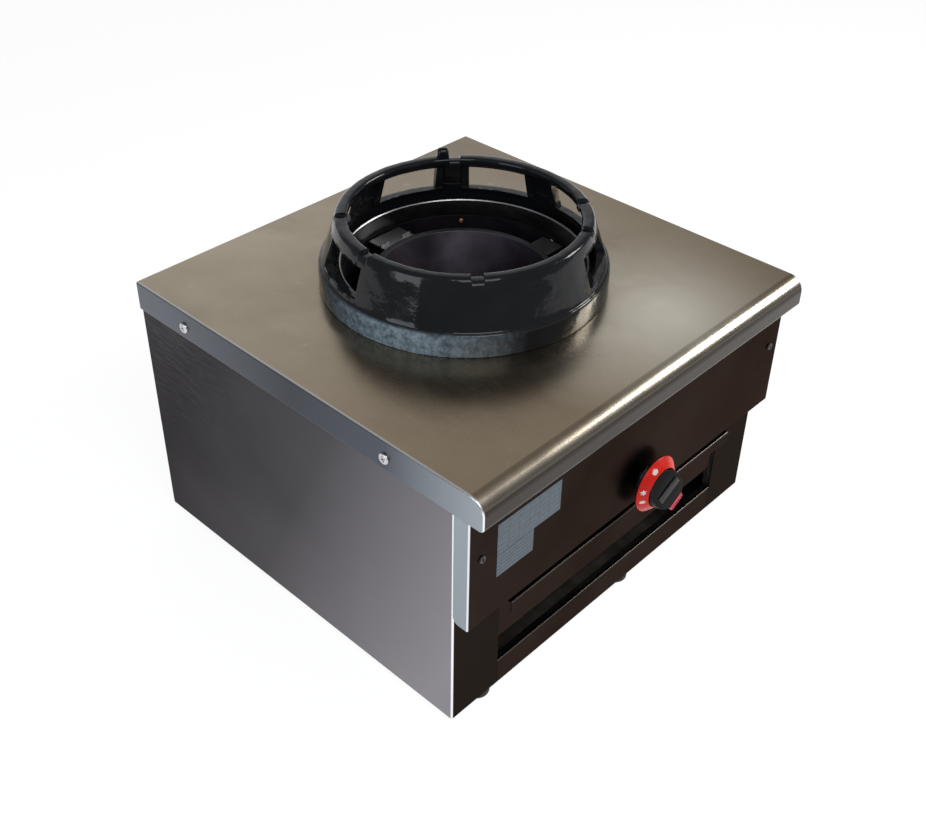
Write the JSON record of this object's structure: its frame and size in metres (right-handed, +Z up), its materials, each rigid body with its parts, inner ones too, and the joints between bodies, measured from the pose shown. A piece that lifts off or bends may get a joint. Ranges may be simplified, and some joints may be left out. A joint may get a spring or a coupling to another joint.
{
  "type": "wok range",
  "caption": "Countertop gas wok range: folded steel cabinet with a rolled-nose worktop, a windowed cast wok ring over a bowl burner, a push-and-turn knob and a pull-out drip tray.",
  "frame": {"origin": "on the floor, under the middle of the whole object's box", "axes": "+X across the front to the right as seen from the front, the front looks towards -Y, +Z up; the gas inlet points along +Y"},
  "size_m": [0.6056, 0.6396, 0.484],
  "materials": {
    "top_steel": "brushed stainless sheet, satin",
    "body_steel": "dark reflecting brushed stainless sheet",
    "front_steel": "dark reflecting brushed stainless sheet",
    "inner_steel": "plain galvanised-looking sheet inside",
    "collar_steel": "bright hemmed hoop, heat-darkened below",
    "bowl_steel": "heat-darkened steel",
    "ring_iron": "black gloss vitreous enamel over a rough casting",
    "burner_iron": "rough grey-black casting",
    "screw_steel": "bright zinc-plated or stainless screws",
    "copper": "copper rivets and tube",
    "brass": "machined brass",
    "pipe_steel": "galvanised pipe",
    "nut_chrome": "bright plated nut",
    "dial_red": "glossy red with printed marks",
    "grip_black": "glossy black",
    "pointer_red": "glossy dark red",
    "foot_rubber": "black rubber",
    "label_metal": "thin bare plate",
    "spring_steel": "spring wire"
  },
  "bodies": {
    "cabinet": {"worktop": "top_steel", "left_side_panel": "body_steel", "right_side_panel": "body_steel", "back_panel": "body_steel", "base_pan": "inner_steel", "bottom_rail": "front_steel", "control_panel": "front_steel", "label_plate_upper": "label_metal", "label_plate_lower": "label_metal", "burner_collar": "collar_steel", "well_wall": "bowl_steel", "collar_rivets": "copper", "burner_bowl": "bowl_steel", "bowl_bracket_back": "bowl_steel", "bowl_bracket_left": "bowl_steel", "bowl_bracket_right": "bowl_steel", "burner_shelf": "inner_steel", "burner_head": "burner_iron", "burner_cap": "burner_iron", "mixing_tube": "burner_iron", "injector": "brass", "injector_elbow": "brass", "elbow_bracket": "inner_steel", "burner_bolts": "screw_steel", "pilot_burner": "pipe_steel", "thermocouple": "copper", "tray_runner_left": "inner_steel", "tray_runner_right": "inner_steel", "valve_body": "brass", "stem_spring": "spring_steel", "panel_nut": "nut_chrome", "gas_inlet": "brass", "inlet_locknut": "brass", "supply_pipe": "pipe_steel", "pipe_clips": "screw_steel", "feed_tube": "copper", "pilot_tube": "copper", "thermocouple_lead": "copper", "foot_screws": "screw_steel", "worktop_screws": "screw_steel", "worktop_nuts": "screw_steel", "panel_screws": "screw_steel", "back_panel_screws": "screw_steel", "bracket_screws": "screw_steel", "foot_front_left": "foot_rubber", "foot_front_middle": "foot_rubber", "foot_front_right": "foot_rubber", "foot_rear_left": "foot_rubber", "foot_rear_right": "foot_rubber"},
    "tray": {"drip_tray": "front_steel"},
    "ring": {"wok_ring": "ring_iron"},
    "push_pin": {"magnet_pin": "pipe_steel"},
    "knob": {"valve_stem": "brass", "knob_dial": "dial_red", "knob_grip": "grip_black", "knob_pointer": "pointer_red"},
    "plug": {"valve_plug": "brass"},
    "shutter": {"air_shutter": "pipe_steel"}
  },
  "joints": [
    {"name": "tray_slide", "type": "slide", "parent": "cabinet", "child": "tray", "axis": [0, -1, 0], "range_m": [0, 0.42]},
    {"name": "ring_lift", "type": "slide", "parent": "cabinet", "child": "ring", "axis": [0, 0, 1], "range_m": [0, 0.06]},
    {"name": "knob_push", "type": "slide", "parent": "cabinet", "child": "push_pin", "axis": [0, 1, 0], "range_m": [0, 0.004], "stiffness_N_per_m": 600, "springref_m": -0.002, "deforming": ["stem_spring"]},
    {"name": "knob_turn", "type": "hinge", "parent": "push_pin", "child": "knob", "pos_m": [0.018, -0.29775, 0.207], "axis": [0, -1, 0], "range_deg": [-102, 78]},
    {"name": "plug_turn", "type": "hinge", "parent": "cabinet", "child": "plug", "pos_m": [0.018, -0.24775, 0.207], "axis": [0, -1, 0], "range_deg": [-103, 79]},
    {"name": "shutter_turn", "type": "hinge", "parent": "cabinet", "child": "shutter", "pos_m": [0, -0.15025, 0.239], "axis": [0, -1, 0], "range_deg": [0, 60]}
  ],
  "couplings": [
    {"joint": "plug_turn", "follows": "knob_turn", "ratio": 1}
  ]
}
